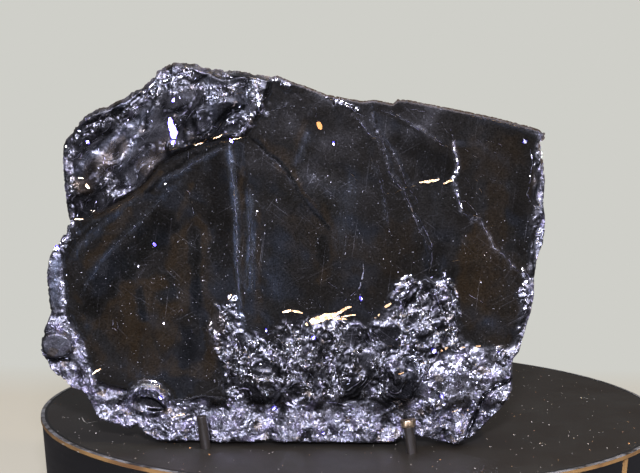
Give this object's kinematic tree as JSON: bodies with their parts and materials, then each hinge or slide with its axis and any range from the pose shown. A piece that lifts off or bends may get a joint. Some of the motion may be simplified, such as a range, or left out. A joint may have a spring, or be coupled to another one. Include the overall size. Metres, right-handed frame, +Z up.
{
  "type": "molybdenite specimen",
  "caption": "Large foliated molybdenite plate standing on edge between thin pins on a low round laminate-clad display base.",
  "frame": {"origin": "centre of the round base's flat underside", "axes": "+Z up; -Y towards the viewer, the way the plate's smooth face looks; +X to the viewer's right"},
  "size_m": [0.2, 0.2, 0.1421],
  "materials": {
    "molybdenite": "polished",
    "board": "matte",
    "laminate_top": "satin",
    "laminate_edge": "satin",
    "pin": "satin"
  },
  "bodies": {
    "root": {"molybdenite_slab": "molybdenite", "base_core": "board", "base_top_sheet": "laminate_top", "base_edge_band": "laminate_edge", "front_left_pin": "pin", "front_right_pin": "pin", "rear_left_pin": "pin", "rear_right_pin": "pin"}
  },
  "joints": []
}
